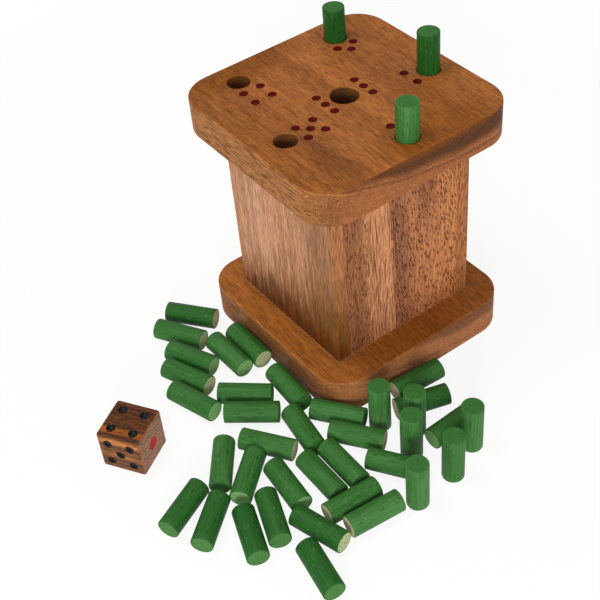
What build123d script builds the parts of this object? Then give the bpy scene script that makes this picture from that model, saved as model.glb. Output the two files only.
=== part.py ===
from build123d import *
import os

# A dice peg board game: a hollow wooden box whose lid is the playing board, forty pegs and a die.
# Lengths are in millimetres. The origin is the middle of the base's underside, on the table.
# X runs along the grain of the lid and base, and the front of the box faces -Y.

# Lid and base boards
BOARD_X = 105.0
BOARD_Y = 103.0
BOARD_CORNER_R = 16.0
BASE_T = 18.0
LID_T = 17.0
TOP_EASE_R = 0.8
UNDER_EASE_R = 1.4

# Four walls, the front and back ones running the full width
BODY_X = 75.0
BODY_Y = 77.0
WALL_T = 7.0
WALL_H = 90.0
WALL_EASE_R = 0.6

# Locating board under the lid, inside the walls
PLUG_T = 8.0
PLUG_CLEARANCE = 0.4
PLUG_LEAD_IN = 0.8

# Pegs, cut from ten-millimetre dowel
PEG_D = 10.0
PEG_L = 25.0
PEG_EASE = 0.3

# Sockets and drop hole in the lid, the drop hole a little off the board's middle
SOCKET_D = 10.4
SOCKET_EASE = 0.4
DROP_HOLE_D = 12.7
DROP_HOLE_X = 0.6
DROP_HOLE_Y = 0.5

# Painted number dots of the lid
LID_DOT_D = 3.8
LID_DOT_DEPTH = 0.8
DOT_STEP = 4.4
DROP_HOLE_DOT_STEP = 6.3
DROP_HOLE_DOT_ROW = 10.2

# Die
DIE_SIDE = 21.0
DIE_EASE_R = 1.2
DIE_PIP_D = 4.2
DIE_ONE_PIP_D = 6.2
DIE_PIP_DEPTH = 1.0
DIE_PIP_STEP = 5.4
DIE_X = 8.0
DIE_Y = -131.5
DIE_TURN = 32.0

# Heights that follow from the sizes above
WALL_TOP_Z = BASE_T + WALL_H
LID_TOP_Z = WALL_TOP_Z + LID_T

# The five blind sockets in the order of their numbers: x, y and depth, which varies a little by hand
SOCKETS = [
    (41.0, 1.0, 8.4),
    (9.7, 39.2, 6.4),
    (-38.5, 25.8, 9.4),
    (-38.9, -26.8, 8.0),
    (9.8, -37.1, 8.0),
]

# Sockets that hold a peg at rest, by number
FILLED_SOCKETS = [1, 2, 3]

# Middle of each number's dots
DOT_CENTRES = {1: (31.0, 0.4), 2: (9.3, 29.5), 3: (-25.9, 25.2), 4: (-25.3, -26.1), 5: (10.2, -24.7)}

# Dots around that middle, in steps
DOT_PATTERNS = {
    1: [(0, 0)],
    2: [(-1, 0), (1, 0)],
    3: [(-1, -1), (0, 0), (-1, 1)],
    4: [(-1, -1), (-1, 1), (1, 1), (1, -1)],
    5: [(-1, -1), (-1, 1), (0, 0), (1, 1), (1, -1)],
}

# Pips on the die's faces, in steps from the middle of the face
DIE_PATTERNS = {
    1: [(0, 0)],
    2: [(-1, -1), (1, 1)],
    3: [(-1, -1), (0, 0), (1, 1)],
    4: [(-1, -1), (-1, 1), (1, -1), (1, 1)],
    5: [(-1, -1), (-1, 1), (0, 0), (1, -1), (1, 1)],
    6: [(-1, -1), (-1, 0), (-1, 1), (1, -1), (1, 0), (1, 1)],
}

# Pegs standing on the table: x and y
STANDING_PEGS = [
    (65.5, -38.0),
    (78.0, -28.5),
    (87.0, -38.0),
    (108.5, -53.0),
    (100.0, -15.0),
    (107.0, -32.0),
]

# Pegs lying on the table: x and y of the middle, and the turn of the peg's length from +X in degrees
LYING_PEGS = [
    # Fan off the front left corner of the base
    (-45.0, -66.5, 37.0),
    (-37.5, -78.0, 30.0),
    (-20.5, -82.5, 24.0),
    (-11.5, -90.5, 21.0),
    (3.0, -96.5, 17.0),
    (-11.0, -67.5, 2.0),
    (-10.0, -57.0, 0.0),
    # Pair and neighbours before the front
    (15.0, -76.0, 48.0),
    (26.0, -80.0, 50.0),
    (24.5, -58.5, -4.0),
    (52.0, -51.0, 35.0),
    (49.5, -68.5, -9.0),
    (67.5, -52.5, 35.0),
    (46.0, -85.5, 34.0),
    # Loose fan nearest the viewer
    (42.0, -107.0, -38.0),
    (54.5, -102.0, -50.0),
    (51.0, -132.5, -65.0),
    (64.0, -127.5, -51.0),
    (80.0, -118.5, -20.0),
    (79.0, -106.5, -21.0),
    (96.0, -95.0, 16.0),
    (111.5, -106.5, -10.0),
    # Rows off the near corner
    (69.5, -92.0, -6.0),
    (75.0, -78.0, -1.0),
    (76.0, -67.0, -1.0),
    (93.5, -76.0, 86.0),
    (104.5, -73.0, 84.0),
    (90.5, -50.0, 33.0),
    # Beside the right wall
    (59.0, -11.0, 86.0),
    (70.5, -18.0, 72.0),
    (89.5, -16.5, 92.0),
]


def dimple(width, depth):
    """A ball that leaves a round dimple of this width and depth in a face at z = 0."""
    radius = (width * width / 4 + depth * depth) / (2 * depth)
    return Pos(0, 0, radius - depth) * Sphere(radius)


def board(thickness, under_ease, foot_z):
    """A rounded square board, its top and underside edges eased."""
    slab = extrude(RectangleRounded(BOARD_X, BOARD_Y, BOARD_CORNER_R), amount=thickness)
    slab = fillet(slab.faces().sort_by(Axis.Z)[-1].edges(), TOP_EASE_R)
    slab = fillet(slab.faces().sort_by(Axis.Z)[0].edges(), under_ease)
    return Pos(0, 0, foot_z) * slab


def upright_box(size_x, size_y, size_z, x, y, foot_z):
    """A square-cut block standing at x, y with its foot at foot_z."""
    block = Box(size_x, size_y, size_z, align=(Align.CENTER, Align.CENTER, Align.MIN))
    return Pos(x, y, foot_z) * block


def full_width_wall(side):
    """The front wall (side -1) or the back wall (side 1), its outer corners eased."""
    y = side * (BODY_Y - WALL_T) / 2
    wall = upright_box(BODY_X, WALL_T, WALL_H, 0, y, BASE_T)
    corners = wall.edges().filter_by(Axis.Z).sort_by(Axis.Y)
    outer = corners[2:] if side > 0 else corners[:2]
    return fillet(outer, WALL_EASE_R)


def wall_between(side):
    """The left wall (side -1) or the right wall (side 1), between the front and back walls."""
    x = side * (BODY_X - WALL_T) / 2
    return upright_box(WALL_T, BODY_Y - 2 * WALL_T, WALL_H, x, 0, BASE_T)


def lid_dot_places():
    """The places of all the lid's dots: five numbers by their sockets, and six round the drop hole."""
    places = []
    for number, (x, y) in DOT_CENTRES.items():
        places += [(x + i * DOT_STEP, y + j * DOT_STEP) for i, j in DOT_PATTERNS[number]]
    for row in (-1, 1):
        y = DROP_HOLE_Y + row * DROP_HOLE_DOT_ROW
        places += [(DROP_HOLE_X + i * DROP_HOLE_DOT_STEP, y) for i in (-1, 0, 1)]
    return places


def socket_cutter(depth):
    """A flat-bottomed socket with an eased mouth, cut down from a face at z = 0."""
    bore = Pos(0, 0, -depth / 2) * Cylinder(SOCKET_D / 2, depth)
    mouth = Pos(0, 0, -SOCKET_EASE / 2) * Cone(SOCKET_D / 2, SOCKET_D / 2 + SOCKET_EASE, SOCKET_EASE)
    return bore + mouth


def lid_board():
    """The playing board: sockets, drop hole and dots cut in its top face."""
    lid = board(LID_T, UNDER_EASE_R, WALL_TOP_Z)
    for x, y, depth in SOCKETS:
        lid -= Pos(x, y, LID_TOP_Z) * socket_cutter(depth)
    lid -= Pos(DROP_HOLE_X, DROP_HOLE_Y, WALL_TOP_Z + LID_T / 2) * Cylinder(DROP_HOLE_D / 2, LID_T)
    hole_rim = Cone(DROP_HOLE_D / 2, DROP_HOLE_D / 2 + SOCKET_EASE, SOCKET_EASE)
    lid -= Pos(DROP_HOLE_X, DROP_HOLE_Y, LID_TOP_Z - SOCKET_EASE / 2) * hole_rim
    for x, y in lid_dot_places():
        lid -= Pos(x, y, LID_TOP_Z) * dimple(LID_DOT_D, LID_DOT_DEPTH)
    return lid


def lid_plug():
    """The locating board under the lid, a loose fit inside the walls, with the drop hole through it."""
    size_x = BODY_X - 2 * WALL_T - 2 * PLUG_CLEARANCE
    size_y = BODY_Y - 2 * WALL_T - 2 * PLUG_CLEARANCE
    foot_z = WALL_TOP_Z - PLUG_T
    plug = upright_box(size_x, size_y, PLUG_T, 0, 0, foot_z)
    plug = chamfer(plug.faces().sort_by(Axis.Z)[0].edges(), PLUG_LEAD_IN)
    return plug - Pos(DROP_HOLE_X, DROP_HOLE_Y, foot_z + PLUG_T / 2) * Cylinder(DROP_HOLE_D / 2, PLUG_T)


def peg():
    """One peg standing on z = 0, its cut ends lightly eased."""
    dowel = Pos(0, 0, PEG_L / 2) * Cylinder(PEG_D / 2, PEG_L)
    return chamfer(dowel.edges().filter_by(GeomType.CIRCLE), PEG_EASE)


def lying(upright_peg, x, y, turn):
    """The peg laid on its side on the table, its middle over x, y."""
    centred = Pos(0, 0, -PEG_L / 2) * upright_peg
    return Pos(x, y, PEG_D / 2) * Rot(0, 0, turn) * Rot(0, 90, 0) * centred


def all_pegs():
    """Every peg in its place: in the lid first, then standing on the table, then lying on it."""
    one = peg()
    pegs = []
    for number in FILLED_SOCKETS:
        x, y, depth = SOCKETS[number - 1]
        pegs.append(Pos(x, y, LID_TOP_Z - depth) * one)
    for x, y in STANDING_PEGS:
        pegs.append(Pos(x, y, 0) * one)
    for x, y, turn in LYING_PEGS:
        pegs.append(lying(one, x, y, turn))
    return pegs


def die():
    """The die as it lies: four on top, five facing front left, one facing front right."""
    cube = Box(DIE_SIDE, DIE_SIDE, DIE_SIDE)
    cube = fillet(cube.edges(), DIE_EASE_R)
    faces = {
        1: Rot(0, 90, 0),
        2: Rot(-90, 0, 0),
        3: Rot(180, 0, 0),
        4: Rot(0, 0, 0),
        5: Rot(90, 0, 0),
        6: Rot(0, -90, 0),
    }
    for number, turn in faces.items():
        width = DIE_ONE_PIP_D if number == 1 else DIE_PIP_D
        pip = dimple(width, DIE_PIP_DEPTH)
        for i, j in DIE_PATTERNS[number]:
            cube -= turn * Pos(i * DIE_PIP_STEP, j * DIE_PIP_STEP, DIE_SIDE / 2) * pip
    return Pos(DIE_X, DIE_Y, DIE_SIDE / 2) * Rot(0, 0, DIE_TURN) * cube


def all_nodes():
    """Every named piece of the game."""
    nodes = {
        "base_board": board(BASE_T, TOP_EASE_R, 0),
        "wall_front": full_width_wall(-1),
        "wall_back": full_width_wall(1),
        "wall_left": wall_between(-1),
        "wall_right": wall_between(1),
        "lid_board": lid_board(),
        "lid_plug": lid_plug(),
        "die": die(),
    }
    for number, shape in enumerate(all_pegs(), start=1):
        nodes[f"peg_{number:02d}"] = shape
    return nodes


os.makedirs("parts", exist_ok=True)
for name, shape in all_nodes().items():
    export_step(shape, f"parts/{name}.step")
    print(name)
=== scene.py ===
"""The looks of a dice peg board game: a rain-tree wood box, forty green pegs and a wooden die.

Sizes are in millimetres and colours are sRGB hex values. MM turns a size into the frame's metres.
X runs along the grain of the lid and base, the front faces -Y, and z = 0 is the table.
"""

from __future__ import annotations

import logging
import math
import random
from collections.abc import Callable
from dataclasses import dataclass
from enum import Enum

import bmesh
import bpy
import numpy as np
from mathutils import Matrix, Vector


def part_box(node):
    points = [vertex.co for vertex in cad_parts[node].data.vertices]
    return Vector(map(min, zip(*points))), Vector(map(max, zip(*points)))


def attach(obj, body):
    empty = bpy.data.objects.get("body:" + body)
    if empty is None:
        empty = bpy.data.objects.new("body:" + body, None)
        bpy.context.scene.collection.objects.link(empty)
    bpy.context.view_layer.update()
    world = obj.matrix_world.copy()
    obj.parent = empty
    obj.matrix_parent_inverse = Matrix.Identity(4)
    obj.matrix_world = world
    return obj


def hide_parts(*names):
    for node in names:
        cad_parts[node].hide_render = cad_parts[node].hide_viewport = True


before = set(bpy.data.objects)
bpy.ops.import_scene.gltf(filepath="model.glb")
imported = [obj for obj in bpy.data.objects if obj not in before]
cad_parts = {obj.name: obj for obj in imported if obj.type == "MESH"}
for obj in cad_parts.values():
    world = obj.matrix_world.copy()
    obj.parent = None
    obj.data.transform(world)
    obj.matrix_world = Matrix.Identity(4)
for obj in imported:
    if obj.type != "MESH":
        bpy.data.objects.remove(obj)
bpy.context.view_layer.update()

MM = 0.001
LOG = logging.getLogger("peg_game")

Point = tuple[float, float, float]
Socket = bpy.types.NodeSocket
# Colour, roughness and height in mm of a finish
Pattern = tuple[Socket, Socket, Socket]
# Mask, its values where the tint starts and where it is full, the full share, and the colour
Tint = tuple[Socket, float, float, float, str]

# Ways that a face looks
UP = (0.0, 0.0, 1.0)
RIGHT = (1.0, 0.0, 0.0)
LEFT = (-1.0, 0.0, 0.0)
FRONT = (0.0, -1.0, 0.0)
BACK = (0.0, 1.0, 0.0)

# Settings for laying one colour over another, and for a soft step between two values
OVERLAY = {"data_type": "RGBA"}
SOFT_STEP = {"interpolation_type": "SMOOTHSTEP"}

# Values that a noise lies between at most points, and at nearly all
NOISE_BODY = (0.3, 0.7)
NOISE_RANGE = (0.2, 0.8)


def linear(colour: str) -> tuple[float, float, float, float]:
    """Turns an sRGB hex colour into the linear colour that a shader takes.

    Args:
        colour: hex value such as "#a46437".

    Returns:
        Linear red, green and blue, and a full alpha.
    """
    parts = [int(colour[i : i + 2], 16) / 255 for i in (1, 3, 5)]
    light = [c / 12.92 if c <= 0.04045 else ((c + 0.055) / 1.055) ** 2.4 for c in parts]
    return (light[0], light[1], light[2], 1.0)


class Graph:
    """The nodes of one material or of the sky."""

    def __init__(self, tree: bpy.types.NodeTree) -> None:
        """Starts with an empty tree."""
        tree.nodes.clear()
        self.tree = tree

    def add(
        self, kind: str, inputs: tuple | dict[str, object] = (), **settings: object
    ) -> Socket | None:
        """Adds a node with its settings and links.

        Args:
            kind: the node's type, without the leading ShaderNode.
            inputs: what goes into its inputs, in their order or by name: an output or a constant.
            settings: properties of the node, such as operation.

        Returns:
            The node's first output in use, or None where it has none.
        """
        node = self.tree.nodes.new("ShaderNode" + kind)
        for name, value in settings.items():
            setattr(node, name, value)
        sockets = [s for s in node.inputs if s.enabled]
        if isinstance(inputs, dict):
            names = [s.name for s in sockets]
            sockets = [sockets[names.index(name)] for name in inputs]
            inputs = tuple(inputs.values())
        for socket, value in zip(sockets, inputs):
            if isinstance(value, Socket):
                self.tree.links.new(value, socket)
            else:
                socket.default_value = value
        return next((s for s in node.outputs if s.enabled), None)

    def layered(self, colour: str, *tints: Tint) -> Socket:
        """Lays tints over a colour.

        Args:
            colour: the colour beneath.
            tints: the tints, from the lowest to the one on top.

        Returns:
            The tinted colour.
        """
        result = linear(colour)
        for mask, start, full, share, tint in tints:
            step = self.add("MapRange", (mask, start, full, 0.0, share), **SOFT_STEP)
            result = self.add("Mix", (step, result, linear(tint)), **OVERLAY)
        return result

    def lumps(self, place: Socket, unit: Point, seed: float | Socket, detail: float) -> Socket:
        """Makes noise whose lumps have one size.

        Args:
            place: coordinates in mm.
            unit: size of a lump on each axis, in mm.
            seed: number that tells one piece's noise from another's.
            detail: how many finer layers it has.

        Returns:
            Noise from 0 to 1.
        """
        drawn = self.add("Mapping", {"Vector": place, "Scale": unit}, vector_type="TEXTURE")
        return self.add("TexNoise", (drawn, seed, 1.0, detail), noise_dimensions="4D")


class Finish:
    """What the finishes share: each is a material whose coat lies over a pattern of its own.

    Attributes:
        name: name of the material.
        shine: strength of its reflections, 0.5 for wet-looking gloss.
        ior: index of refraction of the coat.
        relief: mm that a height of 1 in the pattern stands for.
        relief_share: how much of that relief shows, 0 to 1.
    """

    name: str
    shine: float
    ior = 1.5
    relief = 1.0
    relief_share = 1.0

    def build(self) -> bpy.types.Material:
        """Makes the material.

        Returns:
            The finished material.
        """
        material = bpy.data.materials.new(self.name)
        material.use_nodes = True
        nodes = Graph(material.node_tree)
        nodes.add("OutputMaterial", {"Surface": self.surface(nodes)})
        return material

    def surface(self, nodes: Graph) -> Socket:
        """Makes the shader: the coat over the pattern.

        Args:
            nodes: nodes of the material.

        Returns:
            The shader.
        """
        colour, roughness, height = self.pattern(nodes)
        bump = {"Strength": self.relief_share, "Distance": self.relief * MM, "Height": height}
        coat = {
            "Base Color": colour,
            "Roughness": roughness,
            "Normal": nodes.add("Bump", bump),
            "IOR": self.ior,
            "Specular IOR Level": self.shine,
        }
        return nodes.add("BsdfPrincipled", coat)

    def pattern(self, nodes: Graph) -> Pattern:
        """Draws the pattern, which each coated finish does in its own way."""
        raise NotImplementedError


class Grain(Enum):
    """The axis that a board's fibres run along."""

    X = 0
    Z = 2

    def unit(self, across: float, along: float) -> Point:
        """Sizes one unit of a pattern that is drawn out along the fibres.

        Args:
            across: its width, in mm.
            along: its length along the fibres, in mm.

        Returns:
            Its size on each axis, in mm.
        """
        size = [across] * 3
        size[self.value] = along
        return (size[0], size[1], size[2])

    def sideways(self, size: float) -> Point:
        """Gives a vector of this size on the two axes across the fibres, and 0 along them."""
        return self.unit(size, 0.0)


class Figure(Enum):
    """Noises in the wood: width and length of a lump in mm, and how many finer layers it has."""

    WANDER = (22.0, 60.0, 2.0)
    WEAVE = (16.0, 50.0, 1.0)
    BAND = (12.0, 90.0, 2.0)
    MOTTLE = (2.0, 14.0, 3.0)
    FIBRE = (0.4, 7.0, 3.0)


@dataclass(frozen=True)
class FaceTone:
    """A tint of every face that looks one way, as finish soaks in more on a sawn end.

    Attributes:
        facing: direction that the tinted face looks.
        colour: the tint.
        share: how much of the tint shows, 0 to 1.
    """

    facing: Point
    colour: str
    share: float


@dataclass(frozen=True)
class Streak:
    """A band of darker or paler wood that runs along the fibres.

    Attributes:
        start: where the band begins in the direction across, or its inner radius, in mm.
        end: where it ends, or its outer radius, in mm.
        start_fade: half width of the soft edge at its start, in mm.
        end_fade: half width of the soft edge at its end, in mm.
        colour: colour of the band.
        share: how much of it shows, 0 to 1.
        across: direction in which a straight band is measured.
        centre: middle of a band that follows a growth ring, in mm.
        facing: the band shows only on faces that look this way.
    """

    start: float
    end: float
    start_fade: float
    end_fade: float
    colour: str
    share: float
    across: Point = BACK
    centre: Point | None = None
    facing: Point | None = None


@dataclass(frozen=True)
class Patch:
    """A blotch: mottled wood on some boards, painted shade on others.

    Attributes:
        centre: middle of the blotch, in mm.
        reach: its half size on each axis, in mm.
        colour: colour of the blotch.
        share: how much of it shows, 0 to 1.
        core: part of the reach over which it shows in full, 0 to 1.
        facing: the blotch shows only on faces that look this way.
    """

    centre: Point
    reach: Point
    colour: str
    share: float
    core: float = 0.35
    facing: Point | None = None


@dataclass(frozen=True)
class Pores:
    """Open pores, which a sawn face cuts lengthwise into short dark dashes.

    Attributes:
        gap: mm from one to the next across the fibres.
        run: mm from one to the next along the fibres.
        share: how dark they are, 0 to 1.
        kept: how many of them show, 0 to 1.
        tilt: degrees that the dashes lean about the X axis.
        zone: start and end of the band along Y that has them, in mm.
    """

    gap: float
    run: float
    share: float
    kept: float = 0.7
    tilt: float = 0.0
    zone: tuple[float, float] | None = None


@dataclass(frozen=True)
class BoredInside:
    """The block inside a board where the only surfaces are drilled holes.

    Attributes:
        low: lowest corner of the block, in mm.
        high: highest corner of the block, in mm.
        colour: darker brown of the bore, for its end grain and as painted shade in the holes.
    """

    low: Point
    high: Point
    colour: str


@dataclass(frozen=True)
class RainTreeWood(Finish):
    """Rain-tree wood, planed, sanded and wiped with satin varnish.

    The eye sees short dark open pores, lines of growth, warm bands and a soft low shine.

    Attributes:
        name: name of the material.
        grain: axis of the fibres.
        seed: number that tells one board's pattern from another's.
        pale: colour of the lightest wood.
        body: main colour.
        deep: colour of the dense late growth.
        pore: colour of an open pore.
        pith: a point on the middle line of the tree, in mm, round which the rings lie.
        ring: mm from one growth line to the next.
        ring_share: how strongly the growth lines show, 0 to 1.
        pores: layers of open pores.
        contrast: how much lighter and darker single fibres are, 0 to 1.
        lean: mm that interlocked fibres wander sideways.
        roughness: roughness of the varnished surface.
        worn: how far the rubbed edges go to the pale colour, 0 to 1.
        faces: tints of whole faces.
        streaks: bands along the fibres.
        patches: blotches of mottled wood and of painted shade.
        bored: where the drilled holes are.
        centre: origin of the board's own axes, in mm.
        turn: turn of those axes about Z, in degrees.
    """

    name: str
    grain: Grain
    seed: float
    pale: str
    body: str
    deep: str
    pore: str
    pith: Point
    ring: float = 2.4
    ring_share: float = 0.5
    pores: tuple[Pores, ...] = (Pores(0.9, 3.2, 0.6),)
    contrast: float = 0.2
    lean: float = 2.0
    roughness: float = 0.5
    worn: float = 0.0
    faces: tuple[FaceTone, ...] = ()
    streaks: tuple[Streak, ...] = ()
    patches: tuple[Patch, ...] = ()
    bored: BoredInside | None = None
    centre: Point = (0.0, 0.0, 0.0)
    turn: float = 0.0

    shine = 0.1

    def pattern(self, nodes: Graph) -> Pattern:
        """Draws the board's wood."""
        return BoardPattern(self, nodes).draw()


class BoardPattern:
    """The pattern of one board's wood, on the board's own axes."""

    # Roughness that an open pore adds, and its depth and a fibre's height, in mm
    PORE_ROUGHNESS = 0.25
    PORE_DEPTH = 0.05
    FIBRE_HEIGHT = 0.02

    # Where a pore's dash begins to show and is full, in units of its pattern from its middle
    DASH = (0.46, 0.28)

    # Half width in mm of the soft edge of a band of pores
    ZONE_FADE = 1.5

    # Values of the noise between which a growth line comes in
    LINE = (0.32, 0.68)

    # Values of the noise between which the pale bands come in, and how much they show
    PALE_BAND = (0.35, 0.65, 0.7)

    # Cosine between a face and the way of its tint where the tint begins and is full
    FACING = (0.25, 0.95)

    # How far a streak's edges wander, in widths of their soft edges
    STRAY = 2.4

    # How far the mottle breaks up a patch, in units of its reach
    RAGGED = 0.5

    # Largest part of the normal where an edge begins to look rubbed and is rubbed most, and the
    # same for the part along Z of a board whose upright corners are wide and round
    RUBBED = (0.97, 0.75)
    RIM = (0.1, 0.4)

    # Where the bore's brown begins and is full, in units of the bored block, and how much it shows
    BORE_EDGE = (1.0, 0.96, 0.0, 0.75)

    def __init__(self, wood: RainTreeWood, nodes: Graph) -> None:
        """Lays out the coordinates and noises that the layers share.

        Args:
            wood: the board's finish.
            nodes: nodes of its material.
        """
        self.wood = wood
        self.nodes = nodes
        self.add = nodes.add
        seen = self.add("TexCoord").node.outputs
        spin = (0.0, 0.0, math.radians(wood.turn))
        links = {"Vector": seen["Object"], "Location": [c * MM for c in wood.centre]}
        links |= {"Rotation": spin, "Scale": (MM, MM, MM)}
        self.place = self.add("Mapping", links, vector_type="TEXTURE")
        links = {"Vector": seen["Normal"], "Rotation": spin}
        self.normal = self.add("Mapping", links, vector_type="TEXTURE")
        self.wander = self._noise(self.place, Figure.WANDER)
        # Interlocked fibres weave sideways through the board
        weave = self._noise(self.place, Figure.WEAVE).node.outputs["Color"]
        reach = wood.grain.sideways(wood.lean)
        middle = wood.grain.sideways(-wood.lean / 2)
        drift = self.add("VectorMath", (weave, reach, middle), operation="MULTIPLY_ADD")
        self.leaning = self.add("VectorMath", (self.place, drift), operation="ADD")
        self.fibre = self._noise(self.leaning, Figure.FIBRE)
        self.mottle = self._noise(self.leaning, Figure.MOTTLE)

    def draw(self) -> Pattern:
        """Lays the tints, rings, marks, wear and pores over the plain wood.

        Returns:
            Its colour, roughness and height.
        """
        wood = self.wood
        add = self.add
        slow = self._noise(self.place, Figure.BAND)
        colour = self.nodes.layered(wood.body, (slow, *self.PALE_BAND, wood.pale))
        for face in wood.faces:
            share = add("Math", (self._facing(face.facing), face.share), operation="MULTIPLY")
            colour = add("Mix", (share, colour, linear(face.colour)), **OVERLAY)
        late = add("Math", (self._growth(), wood.ring_share), operation="MULTIPLY")
        colour = add("Mix", (late, colour, linear(wood.deep)), **OVERLAY)
        marks = [(streak, self._streak(streak)) for streak in wood.streaks]
        marks += [(patch, self._patch(patch)) for patch in wood.patches]
        for mark, mask in marks:
            if mark.facing:
                mask = add("Math", (mask, self._facing(mark.facing)), operation="MULTIPLY")
            colour = add("Mix", (mask, colour, linear(mark.colour)), **OVERLAY)
        fine, broad = (
            add("MapRange", (noise, *NOISE_BODY, 1 - swing, 1 + swing), **SOFT_STEP)
            for noise, swing in ((self.fibre, wood.contrast), (self.mottle, wood.contrast / 4))
        )
        brightness = add("Math", (fine, broad), operation="MULTIPLY")
        colour = add("VectorMath", (colour, brightness), operation="SCALE")
        # The inside of the holes turns a darker brown: their end grain, and painted shade of the recess
        if wood.bored:
            colour = add("Mix", (self._bored(), colour, linear(wood.bored.colour)), **OVERLAY)
        worn = add("Math", (self._arris(), wood.worn), operation="MULTIPLY")
        colour = add("Mix", (worn, colour, linear(wood.pale)), **OVERLAY)
        hollow: Socket | float = 0.0
        for pores in wood.pores:
            dashes = self._pores(pores)
            share = add("Math", (dashes, pores.share), operation="MULTIPLY")
            colour = add("Mix", (share, colour, linear(wood.pore)), **OVERLAY)
            hollow = add("Math", (hollow, dashes), operation="MAXIMUM")
        span = (wood.roughness - 0.05, wood.roughness + 0.07)
        gloss = add("MapRange", (self.fibre, *NOISE_RANGE, *span), **SOFT_STEP)
        roughness = add("Math", (hollow, self.PORE_ROUGHNESS, gloss), operation="MULTIPLY_ADD")
        height = add("Math", (hollow, -self.PORE_DEPTH, 0.0), operation="MULTIPLY_ADD")
        height = add("Math", (self.fibre, self.FIBRE_HEIGHT, height), operation="MULTIPLY_ADD")
        return (colour, roughness, height)

    def _noise(self, place: Socket, figure: Figure) -> Socket:
        """Makes one of the wood's noises, drawn out along the fibres.

        Args:
            place: coordinates in mm.
            figure: which noise.

        Returns:
            Noise from 0 to 1.
        """
        across, along, detail = figure.value
        unit = self.wood.grain.unit(across, along)
        return self.nodes.lumps(place, unit, self.wood.seed + across, detail)

    def _radius(self, place: Socket, centre: Point) -> Socket:
        """Measures how far the points are from a line along the fibres.

        Args:
            place: coordinates in mm.
            centre: a point on the line, in mm.

        Returns:
            The distance in mm.
        """
        shifted = self.add("VectorMath", (place, centre), operation="SUBTRACT")
        flat = self.add("VectorMath", (shifted, self.wood.grain.sideways(1.0)), operation="MULTIPLY")
        return self.add("VectorMath", (flat,), operation="LENGTH")

    def _growth(self) -> Socket:
        """Draws growth rings round the pith: lines on the faces and arcs on the ends.

        Returns:
            Mask of the dense late growth.
        """
        radius = self._radius(self.leaning, self.wood.pith)
        count = self.add("Math", (radius, self.wood.ring), operation="DIVIDE")
        links = {"W": count, "Scale": 1.0, "Detail": 2.0}
        lines = self.add("TexNoise", links, noise_dimensions="1D")
        return self.add("MapRange", (lines, *self.LINE), **SOFT_STEP)

    def _pores(self, pores: Pores) -> Socket:
        """Scatters one layer of pores: short dashes on the faces, round specks on the ends.

        Args:
            pores: the layer.

        Returns:
            Mask of the pores.
        """
        seed = self.wood.seed
        links = {
            "Vector": self.leaning,
            "Scale": self.wood.grain.unit(pores.gap, pores.run),
            "Rotation": (math.radians(pores.tilt), 0.0, 0.0),
            "Location": (seed, seed * 2, seed * 3),
        }
        drawn = self.add("Mapping", links, vector_type="TEXTURE")
        cell = self.add("TexVoronoi", {"Vector": drawn, "Scale": 1.0})
        dash = self.add("MapRange", (cell, *self.DASH), **SOFT_STEP)
        # Each cell's random grey lies mostly between 0.25 and 0.75
        chance = cell.node.outputs["Color"]
        least = 0.75 - 0.5 * pores.kept
        kept = self.add("MapRange", (chance, least, least + 0.06), **SOFT_STEP)
        mask = self.add("Math", (dash, kept), operation="MULTIPLY")
        if pores.zone:
            measure = self.add("VectorMath", (self.leaning, BACK), operation="DOT_PRODUCT")
            for limit, fade in zip(pores.zone, (self.ZONE_FADE, -self.ZONE_FADE)):
                edge = self.add("MapRange", (measure, limit - fade, limit + fade), **SOFT_STEP)
                mask = self.add("Math", (mask, edge), operation="MULTIPLY")
        return mask

    def _facing(self, way: Point) -> Socket:
        """Masks the faces that look one way."""
        along = self.add("VectorMath", (self.normal, way), operation="DOT_PRODUCT")
        return self.add("MapRange", (along, *self.FACING), **SOFT_STEP)

    def _streak(self, streak: Streak) -> Socket:
        """Masks one streak, its edges moved a little by slow noise.

        Args:
            streak: the band.

        Returns:
            The band's mask, times its share.
        """
        if streak.centre:
            measure = self._radius(self.place, streak.centre)
        else:
            measure = self.add("VectorMath", (self.place, streak.across), operation="DOT_PRODUCT")
        reach = self.STRAY * (streak.start_fade + streak.end_fade)
        measure = self.add("Math", (self.wander, reach, measure), operation="MULTIPLY_ADD")
        start = streak.start + reach / 2
        end = streak.end + reach / 2
        rising = (measure, start - streak.start_fade, start + streak.start_fade)
        falling = (measure, end - streak.end_fade, end + streak.end_fade, streak.share, 0.0)
        rise = self.add("MapRange", rising, **SOFT_STEP)
        fall = self.add("MapRange", falling, **SOFT_STEP)
        return self.add("Math", (rise, fall), operation="MULTIPLY")

    def _patch(self, patch: Patch) -> Socket:
        """Masks one blotch, broken up along the fibres.

        Args:
            patch: the blotch.

        Returns:
            The blotch's mask, times its share.
        """
        links = {"Vector": self.place, "Location": patch.centre, "Scale": patch.reach}
        inside = self.add("Mapping", links, vector_type="TEXTURE")
        distance = self.add("VectorMath", (inside,), operation="LENGTH")
        ragged = self.add("Math", (self.mottle, self.RAGGED, distance), operation="MULTIPLY_ADD")
        middle = self.RAGGED / 2
        span = (1 + middle, patch.core + middle, 0.0, patch.share)
        return self.add("MapRange", (ragged, *span), **SOFT_STEP)

    def _largest(self, vector: Socket) -> tuple[Socket, Socket]:
        """Finds the largest part of a vector, whatever its sign.

        Args:
            vector: the vector.

        Returns:
            The size of its largest part, and of its part along Z.
        """
        absolute = self.add("VectorMath", (vector,), operation="ABSOLUTE")
        axes = self.add("SeparateXYZ", (absolute,)).node.outputs
        largest = self.add("Math", (axes[0], axes[1]), operation="MAXIMUM")
        return (self.add("Math", (largest, axes[2]), operation="MAXIMUM"), axes[2])

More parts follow.
